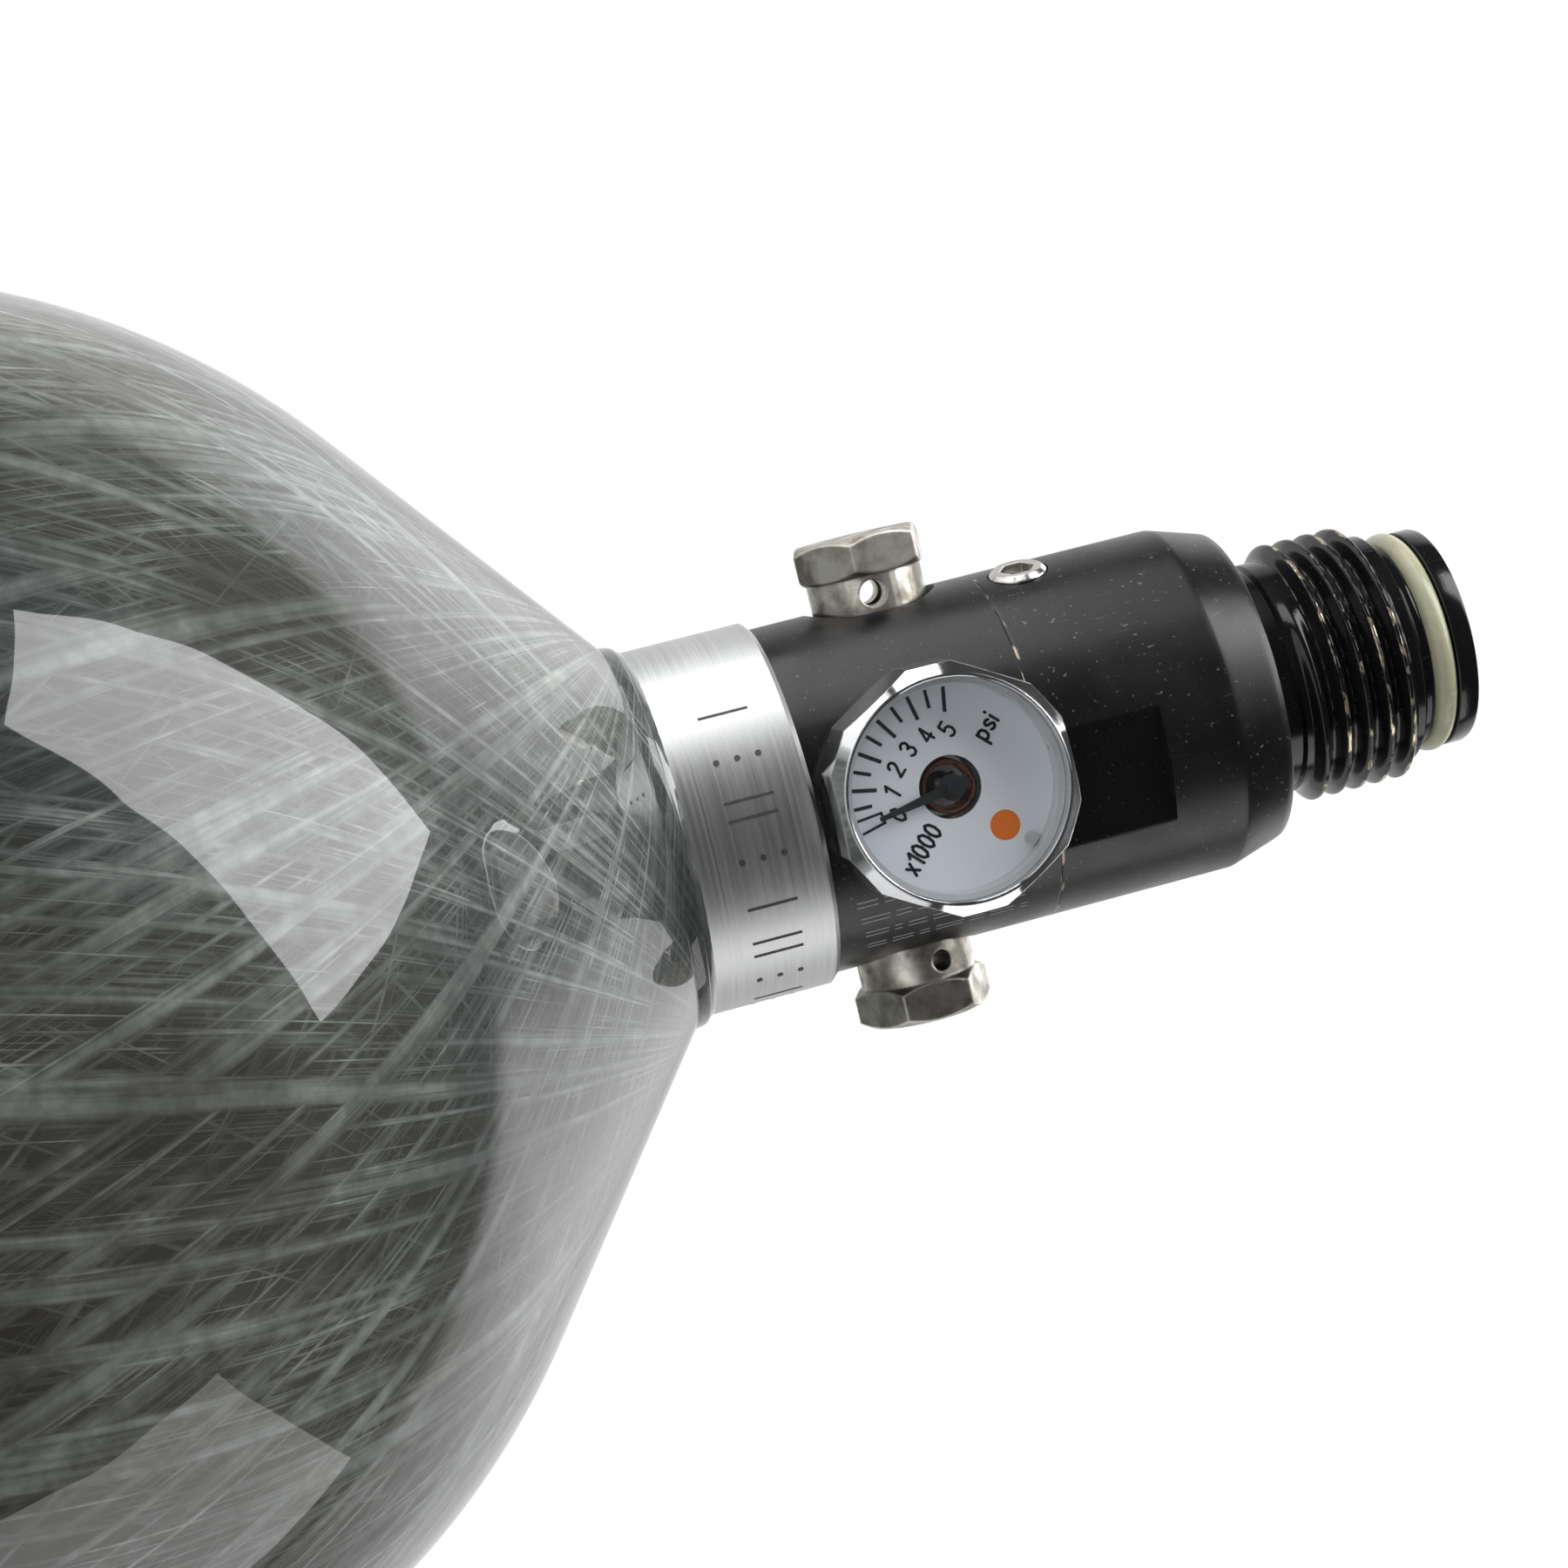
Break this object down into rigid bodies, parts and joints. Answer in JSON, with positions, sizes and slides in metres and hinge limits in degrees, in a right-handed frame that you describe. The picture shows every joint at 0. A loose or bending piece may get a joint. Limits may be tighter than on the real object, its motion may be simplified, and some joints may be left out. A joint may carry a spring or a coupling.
{
  "type": "compressed air bottle with regulator",
  "caption": "Composite-wrapped high-pressure air bottle with a screw-in preset regulator, pressure gauge, burst plugs, fill nipple and sprung outlet valve.",
  "frame": {"origin": "centre of the flat base, on the bottle's axis", "axes": "+Z along the bottle's axis towards the outlet; the gauge faces -Y and the fill nipple +Y; the burst plugs face -X and +X"},
  "size_m": [0.115, 0.115, 0.268],
  "materials": {
    "fibre_wrap": "clear-coated wound glass and carbon fibre",
    "liner_aluminium": "turned",
    "black_anodised": "satin black anodised aluminium",
    "gauge_chrome": "polished",
    "nickel_steel": "worn nickel plate",
    "spring_steel": "plain",
    "brass_parts": "machined",
    "sintered_bronze": "sintered, porous",
    "copper_tube": "drawn copper",
    "black_rubber": "smooth",
    "amber_urethane": "translucent polyurethane",
    "white_plastic": "plain",
    "dial_face": "printed satin",
    "needle_paint": "matt",
    "spacer_plastic": "plain",
    "clear_lens": "clear polycarbonate"
  },
  "bodies": {
    "root": {"bottle_overwrap": "fibre_wrap", "bottle_liner": "liner_aluminium", "neck_oring": "black_rubber", "regulator_body": "black_anodised", "inlet_filter": "sintered_bronze", "inlet_nozzle": "brass_parts", "pressure_shim": "spring_steel", "spring_washers": "spring_steel", "body_oring": "black_rubber", "bonnet": "black_anodised", "bonnet_set_screw": "nickel_steel", "outlet_oring": "amber_urethane", "valve_guide": "brass_parts", "valve_spring": "spring_steel", "gauge_case": "gauge_chrome", "gauge_stem": "gauge_chrome", "gauge_bourdon_coil": "copper_tube", "gauge_dial": "dial_face", "gauge_spacer_ring": "spacer_plastic", "gauge_lens": "clear_lens", "gauge_relief_plug": "spacer_plastic", "high_pressure_burst_plug": "nickel_steel", "high_pressure_burst_disc": "copper_tube", "high_pressure_burst_gasket": "white_plastic", "low_pressure_burst_plug": "nickel_steel", "low_pressure_burst_disc": "copper_tube", "low_pressure_burst_gasket": "white_plastic", "fill_nipple": "nickel_steel", "fill_nipple_oring": "black_rubber", "fill_check_spring": "spring_steel"},
    "piston": {"piston": "liner_aluminium", "piston_seat": "white_plastic", "piston_head_oring": "black_rubber", "piston_stem_oring": "black_rubber"},
    "valve_pin": {"valve_pin": "spring_steel", "valve_pin_oring": "black_rubber"},
    "needle": {"gauge_needle": "needle_paint"},
    "check_poppet": {"fill_check_poppet": "brass_parts", "fill_check_oring": "black_rubber"}
  },
  "joints": [
    {"name": "piston_slide", "type": "slide", "parent": "root", "child": "piston", "axis": [0, 0, -1], "range_m": [0, 0.0008], "stiffness_N_per_m": 20000, "springref_m": -0.0004, "deforming": ["spring_washers"]},
    {"name": "valve_pin_slide", "type": "slide", "parent": "root", "child": "valve_pin", "axis": [0, 0, -1], "range_m": [0, 0.002], "stiffness_N_per_m": 1500, "springref_m": -0.002, "deforming": ["valve_spring"]},
    {"name": "needle_turn", "type": "hinge", "parent": "root", "child": "needle", "pos_m": [0, -0.018, 0.22], "axis": [0, 1, 0], "range_deg": [0, 109]},
    {"name": "check_poppet_slide", "type": "slide", "parent": "root", "child": "check_poppet", "axis": [0, -1, 0], "range_m": [0, 0.0018], "stiffness_N_per_m": 800, "springref_m": -0.002, "deforming": ["fill_check_spring"]}
  ]
}
